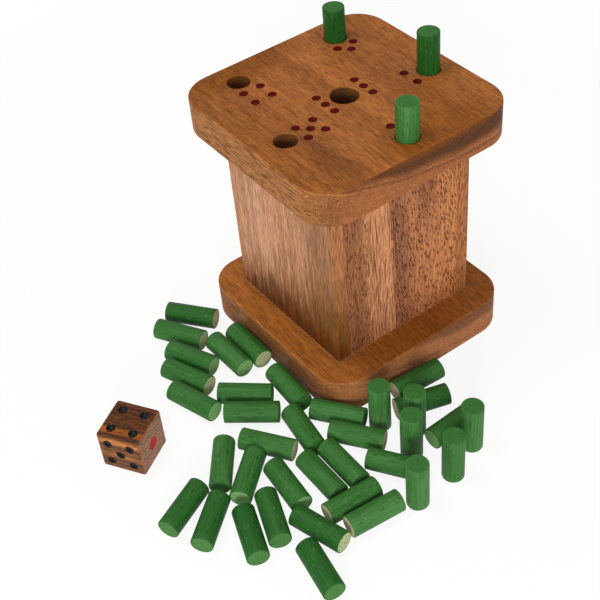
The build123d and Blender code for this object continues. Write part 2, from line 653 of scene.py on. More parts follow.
    def _bored(self) -> Socket:
        """Masks the inside of the drilled holes.

        Returns:
            The mask, times the share of the brown.
        """
        corners = list(zip(self.wood.bored.low, self.wood.bored.high))
        middle = [(low + high) / 2 for low, high in corners]
        half = [(high - low) / 2 for low, high in corners]
        links = {"Vector": self.place, "Location": middle, "Scale": half}
        edge, _ = self._largest(self.add("Mapping", links, vector_type="TEXTURE"))
        return self.add("MapRange", (edge, *self.BORE_EDGE), **SOFT_STEP)

    def _arris(self) -> Socket:
        """Masks the rounded edges, where handling rubs the finish thin.

        Returns:
            Mask of the edges.
        """
        flat, upright = self._largest(self.normal)
        slope = self.add("MapRange", (flat, *self.RUBBED), **SOFT_STEP)
        if self.wood.grain is Grain.X and self.wood.turn == 0.0:
            # The wide round corners of the lid and base aren't rubbed, only their rims
            rim = self.add("MapRange", (upright, *self.RIM), **SOFT_STEP)
            slope = self.add("Math", (slope, rim), operation="MULTIPLY")
        return slope


@dataclass(frozen=True)
class DyedDowel(Finish):
    """Beech dowel, sawn to length, dyed green and wiped with clear lacquer.

    The eye sees fine straight fibres under an even green, a soft streak of light along the side,
    and sawn ends that took the dye unevenly.

    Attributes:
        name: name of the material.
        deep: green of the dense fibres.
        body: main green.
        fresh: brighter green of some pegs.
        end_green: green of a sawn end that is half dyed.
        end_bare: colour of a sawn end with hardly any dye.
        nick: colour of small cracks and specks.
        scuff: colour of scuffs, where the dye is rubbed off.
        roughness: roughness of the lacquer.
    """

    name: str = "dyed_beech_dowel"
    deep: str = "#1b5119"
    body: str = "#33662b"
    fresh: str = "#4a7d41"
    end_green: str = "#7ba868"
    end_bare: str = "#c3bb97"
    nick: str = "#14330f"
    scuff: str = "#5f9155"
    roughness: float = 0.5

    shine = 0.14

    # Roughness that a sawn end adds, and the depth of a nick and a fibre's height, in mm
    SAWN_ROUGHNESS = 0.3
    NICK_DEPTH = 0.07
    FIBRE_HEIGHT = 0.03

    # Values of the noise between which a fibre goes from dark to light, and its brightness there
    FIBRE_LIGHT = (0.25, 0.75, 0.78, 1.22)

    # Bareness between which a point counts as on a sawn end
    SAWN = (0.02, 0.12)

    # Where a mark begins to show and is full, in units of its pattern from its middle
    MARK = (0.42, 0.24)

    def pattern(self, nodes: Graph) -> Pattern:
        """Draws the dyed wood. It reads the meshes' own seed, tone and bare values.

        Args:
            nodes: nodes of the material.

        Returns:
            Its colour, roughness and height.
        """
        add = nodes.add
        coordinates = add("TexCoord").node.outputs["Object"]
        place = add("VectorMath", (coordinates, 1 / MM), operation="SCALE")
        seed, tone, bare = (
            add("Attribute", attribute_name=part.value).node.outputs["Fac"] for part in PegValue
        )
        fibre = nodes.lumps(place, Grain.Z.unit(0.5, 13.0), seed, 3.0)
        band = nodes.lumps(place, Grain.Z.unit(2.6, 30.0), seed, 2.0)
        colour = nodes.layered(
            self.deep,
            (tone, 0.0, 0.5, 1.0, self.body),
            (tone, 0.5, 1.0, 1.0, self.fresh),
            (band, 0.4, 0.75, 0.5, self.deep),
        )
        brightness = add("MapRange", (fibre, *self.FIBRE_LIGHT), **SOFT_STEP)
        colour = add("VectorMath", (colour, brightness), operation="SCALE")
        sawn = add("MapRange", (bare, *self.SAWN), **SOFT_STEP)
        colour = add("Mix", (sawn, colour, self._end(nodes, place, seed, bare)), **OVERLAY)
        scuffs = self._marks(nodes, place, seed, Grain.Z.unit(0.9, 2.6), 0.66)
        nicks = self._marks(nodes, place, seed, Grain.Z.unit(0.7, 4.0), 0.56)
        for marks, share, tint in ((scuffs, 0.35, self.scuff), (nicks, 0.7, self.nick)):
            shown = add("Math", (marks, share), operation="MULTIPLY")
            colour = add("Mix", (shown, colour, linear(tint)), **OVERLAY)
        span = (self.roughness - 0.06, self.roughness + 0.08)
        gloss = add("MapRange", (fibre, *NOISE_RANGE, *span), **SOFT_STEP)
        roughness = add("Math", (sawn, self.SAWN_ROUGHNESS, gloss), operation="MULTIPLY_ADD")
        height = add("Math", (nicks, -self.NICK_DEPTH, 0.0), operation="MULTIPLY_ADD")
        height = add("Math", (fibre, self.FIBRE_HEIGHT, height), operation="MULTIPLY_ADD")
        return (colour, roughness, height)

    def _end(self, nodes: Graph, place: Socket, seed: Socket, bare: Socket) -> Socket:
        """Colours a sawn end, from full green to bare wood, with the specks of its pores.

        Args:
            nodes: nodes of the material.
            place: coordinates in mm.
            seed: the peg's own number.
            bare: how bare the end is, 0 to 1.

        Returns:
            Colour of the end.
        """
        links = {"Vector": place, "W": seed, "Scale": 1.5, "Detail": 2.0}
        blotch = nodes.add("TexNoise", links, noise_dimensions="4D")
        links = {"Vector": place, "W": seed, "Scale": 1.9}
        cell = nodes.add("TexVoronoi", links, voronoi_dimensions="4D")
        return nodes.layered(
            self.body,
            (bare, 0.1, 0.5, 1.0, self.end_green),
            (bare, 0.5, 1.0, 1.0, self.end_bare),
            (blotch, 0.5, 0.75, 0.35, self.body),
            (cell, 0.32, 0.14, 0.45, self.deep),
        )

    def _marks(
        self, nodes: Graph, place: Socket, seed: Socket, unit: Point, least: float
    ) -> Socket:
        """Scatters short marks along the fibres.

        Args:
            nodes: nodes of the material.
            place: coordinates in mm.
            seed: the peg's own number.
            unit: mm from one mark to the next on each axis.
            least: how rare the marks are, 0 to 1.

        Returns:
            Mask of the marks.
        """
        drawn = nodes.add("Mapping", {"Vector": place, "Scale": unit}, vector_type="TEXTURE")
        links = {"Vector": drawn, "W": seed, "Scale": 1.0}
        cell = nodes.add("TexVoronoi", links, voronoi_dimensions="4D")
        mark = nodes.add("MapRange", (cell, *self.MARK), **SOFT_STEP)
        chance = cell.node.outputs["Color"]
        kept = nodes.add("MapRange", (chance, least, least + 0.05), **SOFT_STEP)
        return nodes.add("Math", (mark, kept), operation="MULTIPLY")


@dataclass(frozen=True)
class Enamel(Finish):
    """Enamel paint dabbed into a drilled dimple.

    The eye sees a dark wet-looking spot whose thicker middle catches the light.

    Attributes:
        name: name of the material.
        colour: colour of the paint.
        thin: colour where the paint is thin and the wood shows through.
        roughness: roughness of the dry paint.
        shine: strength of its reflections.
        brush: width of a brush mark, in mm.
    """

    name: str
    colour: str
    thin: str
    roughness: float
    shine: float
    brush: float = 0.8

    # Height of a brush mark, in mm
    MARK_HEIGHT = 0.03

    def pattern(self, nodes: Graph) -> Pattern:
        """Draws the brushed paint.

        Args:
            nodes: nodes of the material.

        Returns:
            Its colour, roughness and height.
        """
        place = nodes.add("TexCoord").node.outputs["Object"]
        links = {"Vector": place, "Scale": 1 / (self.brush * MM), "Detail": 3.0}
        marks = nodes.add("TexNoise", links)
        colour = nodes.layered(self.colour, (marks, 0.45, 0.8, 1.0, self.thin))
        span = (self.roughness - 0.04, self.roughness + 0.1)
        roughness = nodes.add("MapRange", (marks, *NOISE_BODY, *span), **SOFT_STEP)
        height = nodes.add("Math", (marks, self.MARK_HEIGHT), operation="MULTIPLY")
        return (colour, roughness, height)


@dataclass(frozen=True)
class DriedGlue(Finish):
    """Wood glue that squeezed out along a joint and was wiped off.

    The eye sees a thin pale line, a little shinier than the wood.

    Attributes:
        name: name of the material.
        colour: colour of the clean glue.
        dust: colour of the sawdust in it.
        crumb: mm from one crumb of sawdust to the next.
        roughness: roughness of the clean glue and of the dusty parts.
    """

    name: str = "dried_wood_glue"
    colour: str = "#8e5d36"
    dust: str = "#5f3c20"
    crumb: float = 1.5
    roughness: tuple[float, float] = (0.35, 0.6)

    shine = 0.2
    ior = 1.48
    relief = 0.1
    relief_share = 0.5

    def pattern(self, nodes: Graph) -> Pattern:
        """Draws the glue.

        Args:
            nodes: nodes of the material.

        Returns:
            Its colour, roughness and height.
        """
        place = nodes.add("TexCoord").node.outputs["Object"]
        links = {"Vector": place, "Scale": 1 / (self.crumb * MM), "Detail": 2.0}
        crumbs = nodes.add("TexNoise", links)
        colour = nodes.layered(self.colour, (crumbs, 0.4, 0.65, 1.0, self.dust))
        roughness = nodes.add("MapRange", (crumbs, *NOISE_BODY, *self.roughness), **SOFT_STEP)
        return (colour, roughness, crumbs)


@dataclass(frozen=True)
class WhitePaper(Finish):
    """A matt white paper sweep, lit so evenly that it fades into the background.

    The camera sees pure white with a faint shadow round each piece.

    Attributes:
        name: name of the material.
        colour: colour of the paper.
        shade: how much of the real shading the camera sees near the game, 0 to 1.
        shade_start: distance from the frame's origin at which the shading begins to fade, in mm.
        shade_end: distance at which nothing of it is left, in mm.
    """

    name: str = "white_paper"
    colour: str = "#f2f2f0"
    shade: float = 0.12
    shade_start: float = 200.0
    shade_end: float = 450.0

    def surface(self, nodes: Graph) -> Socket:
        """Makes the shader: white where the background shows, paper for all other light.

        Args:
            nodes: nodes of the material.

        Returns:
            The shader.
        """
        paper = nodes.add("BsdfDiffuse", {"Color": linear(self.colour)})
        white = nodes.add("Emission", {"Strength": 1.0})
        place = nodes.add("TexCoord").node.outputs["Object"]
        away = nodes.add("VectorMath", (place,), operation="LENGTH")
        span = (self.shade_start * MM, self.shade_end * MM, 1 - self.shade, 1.0)
        clean = nodes.add("MapRange", (away, *span), **SOFT_STEP)
        share = nodes.add("Math", (seen_directly(nodes), clean), operation="MULTIPLY")
        return nodes.add("MixShader", (share, paper, white))


def seen_directly(nodes: Graph) -> Socket:
    """Masks the rays that show the background: the camera's, and those off gloss and through glass.

    Args:
        nodes: nodes of the floor's material or of the sky.

    Returns:
        1 for those rays, else 0.
    """
    rays = nodes.add("LightPath").node.outputs
    links = (rays["Is Camera Ray"], rays["Is Glossy Ray"])
    seen = nodes.add("Math", links, operation="MAXIMUM")
    return nodes.add("Math", (seen, rays["Is Transmission Ray"]), operation="MAXIMUM")


def new_mesh(name: str, built: bmesh.types.BMesh) -> bpy.types.Mesh:
    """Turns what was built into a mesh.

    Args:
        name: name of the mesh.
        built: what was built; it is freed.

    Returns:
        The mesh.
    """
    mesh = bpy.data.meshes.new(name)
    built.to_mesh(mesh)
    built.free()
    return mesh


def new_object(name: str, data: bpy.types.ID) -> bpy.types.Object:
    """Puts a new object in the scene.

    Args:
        name: name of the object.
        data: its mesh, camera or lamp.

    Returns:
        The object.
    """
    made = bpy.data.objects.new(name, data)
    bpy.context.scene.collection.objects.link(made)
    return made


def turned_mesh(
    name: str,
    profile: list[tuple[float, float]],
    sides: int,
    wobble: Callable[[float, int], tuple[float, float]],
) -> bpy.types.Mesh:
    """Spins a profile about Z into a closed mesh.

    Args:
        name: name of the mesh.
        profile: radius and height of each ring from one pole to the other, in mm; both poles have
            radius 0.
        sides: how many faces go round.
        wobble: gives the change of radius and height at an angle and a ring number, in mm.

    Returns:
        The closed mesh, in metres.
    """
    built = bmesh.new()
    poles = [built.verts.new((0, 0, profile[i][1] * MM)) for i in (0, -1)]
    rings = []
    for number, (radius, height) in enumerate(profile[1:-1]):
        ring = []
        for step in range(sides):
            angle = 2 * math.pi * step / sides
            out, up = wobble(angle, number)
            reach = (radius + out) * MM
            spot = (reach * math.cos(angle), reach * math.sin(angle), (height + up) * MM)
            ring.append(built.verts.new(spot))
        rings.append(ring)
    for step in range(sides):
        following = (step + 1) % sides
        built.faces.new((poles[0], rings[0][following], rings[0][step]))
        built.faces.new((poles[1], rings[-1][step], rings[-1][following]))
        for low, high in zip(rings, rings[1:]):
            built.faces.new((low[step], low[following], high[following], high[step]))
    bmesh.ops.recalc_face_normals(built, faces=built.faces)
    mesh = new_mesh(name, built)
    mesh.shade_smooth()
    return mesh


def add_piece(
    name: str, mesh: bpy.types.Mesh, material: bpy.types.Material, place: Matrix, body: str
) -> bpy.types.Object:
    """Puts a piece of the game in the scene and lets it ride on a body.

    Args:
        name: name of the piece.
        mesh: its mesh.
        material: its finish.
        place: its place in the frame.
        body: the body that it moves with.

    Returns:
        The piece.
    """
    piece = new_object(name, mesh)
    mesh.materials.append(material)
    piece.matrix_world = place
    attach(piece, body)
    LOG.info("%s: %d faces, rides on %s", name, len(mesh.polygons), body)
    return piece


def dress_node(node: str, material: bpy.types.Material) -> None:
    """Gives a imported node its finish.

    Args:
        node: name of the node.
        material: its finish.
    """
    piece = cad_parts[node]
    piece.data.materials.clear()
    piece.data.materials.append(material)
    LOG.info("%s: dressed as %s", node, material.name)


class PaintDab:
    """A thin dab of enamel in a round dimple."""

    # In mm: how thick the coat is in the middle, how wide and high the lip is that it leaves on
    # the wood round the mouth, and how far the dab reaches into the wood
    COAT = 0.12
    LIP = 0.1
    LIP_HEIGHT = 0.03
    SUNK = 0.06

    # Number of the waves round the edge of the lip, and their height in mm
    EDGE_WAVES = ((3, 0.04), (5, 0.03))

    SIDES = 28
    RINGS = 6

    def __init__(self, width: float, depth: float) -> None:
        """Takes the dimple's size.

        Args:
            width: width of the dimple's mouth, in mm.
            depth: its depth, in mm.
        """
        self.width = width
        self.depth = depth
        self.ball = (width * width / 4 + depth * depth) / (2 * depth)

    def floor_height(self, radius: float) -> float:
        """Gives the height of the dimple's floor at a radius, with its mouth at 0."""
        return self.ball - self.depth - math.sqrt(self.ball**2 - radius**2)

    def mesh(self, name: str, seed: int) -> bpy.types.Mesh:
        """Builds one dab, its edge a little uneven.

        Args:
            name: name of the mesh.
            seed: number that sets the unevenness.

        Returns:
            The closed mesh, with the dimple's mouth at z = 0.
        """
        draw = random.Random(seed)
        turns = [draw.uniform(0, 2 * math.pi) for _ in self.EDGE_WAVES]
        mouth = self.width / 2
        radii = [mouth * (step + 1) / self.RINGS for step in range(self.RINGS)]
        thinned = 1 - self.COAT / self.depth
        top = [(0.0, -self.depth * thinned)]
        top += [(r, self.floor_height(r) * thinned) for r in radii[:-1]]
        top += [(mouth, self.LIP_HEIGHT), (mouth + self.LIP, self.LIP_HEIGHT / 2)]
        foot = [(mouth + self.LIP, -self.SUNK), (mouth, -self.SUNK)]
        foot += [(r, self.floor_height(r) - self.SUNK) for r in reversed(radii[:-1])]
        foot.append((0.0, -self.depth - self.SUNK))
        edge = (len(radii), len(radii) + 1)

        def wobble(angle: float, ring: int) -> tuple[float, float]:
            """Moves the painted edge in and out.

            Args:
                angle: angle round the dab, in radians.
                ring: number of the ring.

            Returns:
                Change of radius and height, in mm.
            """
            if ring not in edge:
                return (0.0, 0.0)
            waves = zip(self.EDGE_WAVES, turns)
            return (sum(size * math.sin(count * angle + turn) for (count, size), turn in waves), 0.0)

        return turned_mesh(name, top + foot, self.SIDES, wobble)


@dataclass
class Box:
    """The hollow box: a base board, four walls and the glue line at their feet.

    Attributes:
        base: finish of the base board.
        front: finish of the front wall.
        right: finish of the right wall.
        back: finish of the back wall.
        left: finish of the left wall.
        glue_width: how far the glue line stands out from the walls, in mm.
        glue_height: its height, in mm.
    """

    base: RainTreeWood
    front: RainTreeWood
    right: RainTreeWood
    back: RainTreeWood
    left: RainTreeWood
    glue_width: float = 0.25
    glue_height: float = 0.2

    # Part of the glue line's width and height at its rounded shoulder
    SHOULDER = 0.55

    def build(self) -> None:
        """Dresses the boards and lays the glue line."""
        finishes = {
            "base_board": self.base,
            "wall_front": self.front,
            "wall_right": self.right,
            "wall_back": self.back,
            "wall_left": self.left,
        }
        for node, finish in finishes.items():
            dress_node(node, finish.build())
        self._glue_line()

    def _glue_line(self) -> None:
        """Lays a thin bead of glue round the feet of the walls."""
        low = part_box("wall_front")[0]
        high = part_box("wall_back")[1]
        width = self.glue_width * MM
        height = self.glue_height * MM
        shoulder = (width * self.SHOULDER, height * self.SHOULDER)
        # Across the bead: inside the wall, the outer toe, the shoulder, the wall's face, inside it
        section = [(-width, 0.0), (width, 0.0), shoulder, (0.0, height), (-width, height)]
        built = bmesh.new()
        loops = []
        for out, up in section:
            corners = [
                (low.x - out, low.y - out),
                (high.x + out, low.y - out),
                (high.x + out, high.y + out),
                (low.x - out, high.y + out),
            ]
            loops.append([built.verts.new((x, y, low.z + up)) for x, y in corners])
        for line, following in zip(loops, loops[1:] + loops[:1]):
            for corner in range(4):
                after = (corner + 1) % 4
                built.faces.new((line[corner], line[after], following[after], following[corner]))
        bmesh.ops.recalc_face_normals(built, faces=built.faces)
        mesh = new_mesh("glue_line", built)
        add_piece("glue_line", mesh, DriedGlue().build(), Matrix.Identity(4), "box")


@dataclass
class Lid:
    """The playing board, its locating board and the painted dots of its numbers.

    Attributes:
        board: finish of the playing board.
        plug: finish of the locating board.
        paint: paint of the dots.
        dot_width: width of a dot's dimple, in mm.
        dot_depth: its depth, in mm.
        dot_step: mm from one dot to the next by a socket.
        drop_step: mm from one dot to the next by the drop hole.
        drop_row: mm from the drop hole's middle to each row of its dots.
        drop_hole: middle of the drop hole, in mm.
    """

    board: RainTreeWood
    plug: RainTreeWood
    paint: Enamel
    dot_width: float = 3.8
    dot_depth: float = 0.8
    dot_step: float = 4.4
    drop_step: float = 6.3
    drop_row: float = 10.2
    drop_hole: tuple[float, float] = (0.6, 0.5)

    # Middle of each number's dots, in mm, and the dots around it, in steps
    NUMBERS = {
        1: ((31.0, 0.4), [(0, 0)]),
        2: ((9.3, 29.5), [(-1, 0), (1, 0)]),
        3: ((-25.9, 25.2), [(-1, -1), (0, 0), (-1, 1)]),
        4: ((-25.3, -26.1), [(-1, -1), (-1, 1), (1, 1), (1, -1)]),
        5: ((10.2, -24.7), [(-1, -1), (-1, 1), (0, 0), (1, 1), (1, -1)]),
    }

    def build(self) -> None:
        """Dresses the boards and paints the dots."""
        dress_node("lid_board", self.board.build())
        dress_node("lid_plug", self.plug.build())
        paint = self.paint.build()
        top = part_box("lid_board")[1].z
        dab = PaintDab(self.dot_width, self.dot_depth)
        for number, places in self.dots().items():
            for count, (x, y) in enumerate(places, start=1):
                name = f"lid_dot_{number}_{count}"
                place = Matrix.Translation((x * MM, y * MM, top))
                add_piece(name, dab.mesh(name, number * 10 + count), paint, place, "lid")

    def dots(self) -> dict[int, list[tuple[float, float]]]:
        """Finds the places of each number's dots.

        Returns:
            For each number, the middle of each of its dots, in mm.
        """
        step = self.dot_step
        places = {
            number: [(x + i * step, y + j * step) for i, j in pattern]
            for number, ((x, y), pattern) in self.NUMBERS.items()
        }
        x, y = self.drop_hole
        places[6] = [
            (x + i * self.drop_step, y + row * self.drop_row) for row in (-1, 1) for i in (-1, 0, 1)
        ]
        return places


@dataclass
class Die:
    """The wooden die with its painted pips.

    Attributes:
        wood: finish of the cube.
        black: paint of the pips.
        red: paint of the single pip.
        pip_width: width of a pip's dimple, in mm.
        one_width: width of the single pip's dimple, in mm.
        pip_depth: depth of a dimple, in mm.
        pip_step: mm from one pip to the next.
        side: length of the cube's side, in mm.
    """

    wood: RainTreeWood
    black: Enamel
    red: Enamel
    pip_width: float = 4.2
    one_width: float = 6.2
    pip_depth: float = 1.0
    pip_step: float = 5.4
    side: float = 21.0

    # Pips of each number, in steps from the middle of its face
    PATTERNS = {
        1: [(0, 0)],
        2: [(-1, -1), (1, 1)],
        3: [(-1, -1), (0, 0), (1, 1)],
        4: [(-1, -1), (-1, 1), (1, -1), (1, 1)],
        5: [(-1, -1), (-1, 1), (0, 0), (1, -1), (1, 1)],
        6: [(-1, -1), (-1, 0), (-1, 1), (1, -1), (1, 0), (1, 1)],
    }

    # A pip's seed comes from its number and place, past the seeds of the lid's dots
    FIRST_SEED = 100

    # Axis and angle, in degrees, that turn an upward face to each number's side
    SIDES = {1: ("Y", 90), 2: ("X", -90), 3: ("X", 180), 4: ("X", 0), 5: ("X", 90), 6: ("Y", -90)}

    def build(self) -> None:
        """Dresses the cube and paints its pips."""
        dress_node("die", self.wood.build())
        black = self.black.build()
        red = self.red.build()
        low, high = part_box("die")
        cube = Matrix.Translation((low + high) / 2)
        cube = cube @ Matrix.Rotation(math.radians(self.wood.turn), 4, "Z")
        for number, (axis, angle) in self.SIDES.items():
            width = self.one_width if number == 1 else self.pip_width
            dab = PaintDab(width, self.pip_depth)
            face = cube @ Matrix.Rotation(math.radians(angle), 4, axis)
            for count, (i, j) in enumerate(self.PATTERNS[number], start=1):
                name = f"die_pip_{number}_{count}"
                # The pips that lie on the table sit deeper by the height of their lip
                rise = self.side / 2 - (PaintDab.LIP_HEIGHT if number == 3 else 0.0)
                spot = (i * self.pip_step * MM, j * self.pip_step * MM, rise * MM)
                place = face @ Matrix.Translation(spot)
                paint = red if number == 1 else black
                seed = self.FIRST_SEED + number * 10 + count
                add_piece(name, dab.mesh(name, seed), paint, place, "die")


class PegValue(Enum):
    """The values that a peg's mesh carries for its finish, by the names they have there."""

    SEED = "peg_seed"
    TONE = "peg_tone"
    BARE = "peg_bare"


class SawnEnd(Enum):
    """How much dye a peg's sawn end took, from 0 for full green to 1 for bare wood."""

    DYED = 0.1
    BRIGHT = 0.2
    HALF = 0.5
    PALE = 0.8
    BARE = 1.0


@dataclass
class Peg:
    """One green peg, cut from dowel.

    Attributes:
        number: the peg's number in the game.
        tone: how pale its green is, 0 for deep and 1 for fresh.
        near_end: the end that faces the camera, or the upper end of a standing peg.
        far_end: the other end.
        diameter: diameter of the dowel, in mm.
        length: length of the peg, in mm.
        ease: size of the eased edge at each end, in mm.
        sides: how many faces go round.
    """

    number: int
    tone: float
    near_end: SawnEnd
    far_end: SawnEnd = SawnEnd.HALF
    diameter: float = 10.0
    length: float = 25.0
    ease: float = 0.3
    sides: int = 44

    # Radii of the rings on a sawn end, as parts of the peg's; the dye wets the rim past BARE_PART
    END_RINGS = (0.3, 0.6, 0.85)
    BARE_PART = 0.86

    # Number of spans along the side
    SPANS = 8

    # Part of the eased edge that the middle of its rounding stands in from both faces
    ROUNDING = 0.3

    # Half the depth in mm of each shallow wave round the side, and of the saw's marks on the ends
    WAVE = 0.012
    SAW_MARK = 0.02

    # Step between the seeds of two pegs' noise
    SEED_STEP = 3.7

    # Angle in degrees past which an edge shows as sharp
    SHARP = 38

    def build(self, material: bpy.types.Material, toward: Vector) -> None:
        """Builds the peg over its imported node.

        Args:
            material: the finish of all pegs.
            toward: direction from the pegs to the camera, which tells the near end.
        """
        node = f"peg_{self.number:02d}"
        name = f"green_{node}"
        mesh = self._mesh(name)
        piece = add_piece(name, mesh, material, self._place(node, toward), node)
        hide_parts(node)

    def _place(self, node: str, toward: Vector) -> Matrix:
        """Reads the peg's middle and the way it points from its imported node.

        Args:
            node: name of the node.
            toward: direction from the pegs to the camera.

        Returns:
            Matrix that puts a peg made along Z, its near end up, on the node.
        """
        low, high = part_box(node)
        points = np.array([v.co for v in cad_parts[node].data.vertices])
        spread = np.cov((points - points.mean(0)).T)
        axis = Vector(np.linalg.eigh(spread)[1][:, -1])
        if axis.dot(toward) < 0:
            axis.negate()
        spin = axis.to_track_quat("Z", "X").to_matrix().to_4x4()
        return Matrix.Translation((low + high) / 2) @ spin

    def _mesh(self, name: str) -> bpy.types.Mesh:
        """Turns the peg: sawn ends, eased edges and a side that isn't perfectly round.

        Args:
            name: name of the mesh.

        Returns:
            The closed mesh along Z with its own seed, tone and bareness values.
        """
        draw = random.Random(self.number)
        half = self.length / 2
        radius = self.diameter / 2
        ease = self.ease
        flat_end = [(radius * part, half) for part in self.END_RINGS] + [(radius - ease, half)]
        inset = ease * self.ROUNDING
        end = [(0.0, half), *flat_end, (radius - inset, half - inset), (radius, half - ease)]
        straight = self.length - 2 * ease
        side = [(radius, half - ease - straight * k / self.SPANS) for k in range(1, self.SPANS)]
        profile = end + side + [(r, -z) for r, z in reversed(end)]
        # The rings leave out both poles of the profile
        last = len(profile) - 3
        waves = [(draw.randint(2, 5), draw.uniform(0, 2 * math.pi)) for _ in range(3)]
        saw = draw.uniform(0, math.pi)

        def wobble(angle: float, ring: int) -> tuple[float, float]:
            """Takes a little off the side, and lets the saw mark the ends.

            Args:
                angle: angle round the peg, in radians.
                ring: number of the ring.

            Returns:
                Change of radius and height, in mm.
            """
            off = sum(1 + math.sin(count * angle + turn + 0.2 * ring) for count, turn in waves)
            cut = self.SAW_MARK * (1 + math.sin(5 * ring + saw * math.cos(angle - saw)))
            if ring < len(flat_end):
                return (0.0, -cut)
            if ring > last - len(flat_end):
                return (0.0, cut)
            return (-self.WAVE * off, 0.0)

        mesh = turned_mesh(name, profile, self.sides, wobble)
        mesh.set_sharp_from_angle(angle=math.radians(self.SHARP))
        count = len(mesh.vertices)
        values = {
            PegValue.SEED: [self.number * self.SEED_STEP] * count,
            PegValue.TONE: [self.tone] * count,
            PegValue.BARE: self._bareness(mesh, half, radius),
        }
        for part, numbers in values.items():
            mesh.attributes.new(part.value, "FLOAT", "POINT").data.foreach_set("value", numbers)
        return mesh

    def _bareness(self, mesh: bpy.types.Mesh, half: float, radius: float) -> list[float]:
        """Finds how bare each point is: the two sawn ends are, within their dyed rims.

        Args:
            mesh: the peg's mesh.
            half: half its length, in mm.
            radius: its radius, in mm.

        Returns:
            One value for each point.
        """
        values = []
        for vertex in mesh.vertices:
            height = vertex.co.z / MM
            out = math.hypot(vertex.co.x, vertex.co.y) / MM
            on_end = abs(height) > half - self.ease and out < radius * self.BARE_PART
            share = (self.near_end if height > 0 else self.far_end).value
            values.append(share if on_end else 0.0)
        return values


@dataclass
class PegSet:
    """All forty pegs: three in the lid, the rest on the table.

    Attributes:
        finish: the finish that they share.
        toward: direction from the pegs to the camera.
        count: how many pegs there are.
    """

    finish: DyedDowel
    toward: Vector
    count: int = 40

    # Pegs whose near end isn't half dyed
    NEAR_ENDS = {
        SawnEnd.DYED: (1, 2, 3, 4, 5, 6, 7, 8, 9, 17, 18, 19, 20, 21, 33, 34),
        SawnEnd.BRIGHT: (24, 26, 27, 28, 29, 31),
        SawnEnd.PALE: (11, 13, 16, 30),
        SawnEnd.BARE: (10, 22, 23, 35, 36, 38, 39),
    }

    # Tones of the pegs that stand out from the rest; the deep tones of pegs 2 and 3, at the back of the
    # lid, are painted shade
    TONES = {
        1: 0.75, 2: 0.1, 3: 0.05, 4: 0.85, 5: 0.75, 6: 0.75, 7: 0.75, 8: 0.7, 9: 0.6,
        10: 0.2, 11: 0.5, 36: 0.75, 26: 0.2, 27: 0.2, 28: 0.1, 29: 0.25, 30: 0.2, 31: 0.1, 39: 0.3,
    }

    def build(self) -> None:
        """Builds every peg."""
        material = self.finish.build()
        near = {number: end for end, numbers in self.NEAR_ENDS.items() for number in numbers}
        for number in range(1, self.count + 1):
            tone = self.TONES.get(number, random.Random(number).uniform(0.45, 0.7))
            Peg(number, tone, near.get(number, SawnEnd.HALF)).build(material, self.toward)


@dataclass
class PhotoCamera:
    """The camera, where the photograph was taken from.

    Attributes:
        azimuth: degrees round Z from the front, towards +X.
        elevation: degrees above the table.
        roll: degrees that the camera is turned about its own line of sight.
        distance: mm from the camera to its target.
        target: point in the middle of the picture, in mm.
        lens: focal length in mm for the sensor width.
        sensor: width of the sensor, in mm.
    """

    azimuth: float = 57.448
    elevation: float = 43.169
    roll: float = -5.904
    distance: float = 522.97
    target: Point = (21.79, -45.71, 50.0)
    lens: float = 71.64
    sensor: float = 36.0

    def back(self) -> Vector:
        """Finds the direction from the target to the camera.

        Returns:
            The direction, one unit long.
        """
        azimuth = math.radians(self.azimuth)
        elevation = math.radians(self.elevation)
        out = math.cos(elevation)
        return Vector((math.sin(azimuth) * out, -math.cos(azimuth) * out, math.sin(elevation)))

    def build(self) -> None:
        """Makes the scene's camera."""
        data = bpy.data.cameras.new("photo_camera")
        data.lens = self.lens
        data.sensor_width = self.sensor
        data.clip_start = 0.01
        camera = new_object("photo_camera", data)
        back = self.back()
        right = Vector((0, 0, 1)).cross(back).normalized()
        up = back.cross(right)
        axes = Matrix((right, up, back)).transposed().to_4x4()
        axes = axes @ Matrix.Rotation(math.radians(self.roll), 4, "Z")
        place = (Vector(self.target) + back * self.distance) * MM
        camera.matrix_world = Matrix.Translation(place) @ axes
        bpy.context.scene.camera = camera
        LOG.info("camera at %s", tuple(round(c, 4) for c in place))


@dataclass
class SoftLamp:
    """One square softbox.

    Attributes:
        name: name of the lamp.
        place: where it stands, in mm.
        aim: the point that it faces, in mm.
        size: length of its side, in mm.
        power: its power in watts.
    """

    name: str
    place: Point
    aim: Point
    size: float
    power: float

    def build(self) -> None:
        """Makes the lamp."""
        data = bpy.data.lights.new(self.name, "AREA")
        data.shape = "SQUARE"
        data.size = self.size * MM
        data.energy = self.power
        lamp = new_object(self.name, data)
        lamp.location = Vector(self.place) * MM
        line = Vector(self.place) - Vector(self.aim)
        lamp.rotation_euler = line.to_track_quat("Z", "Y").to_euler()


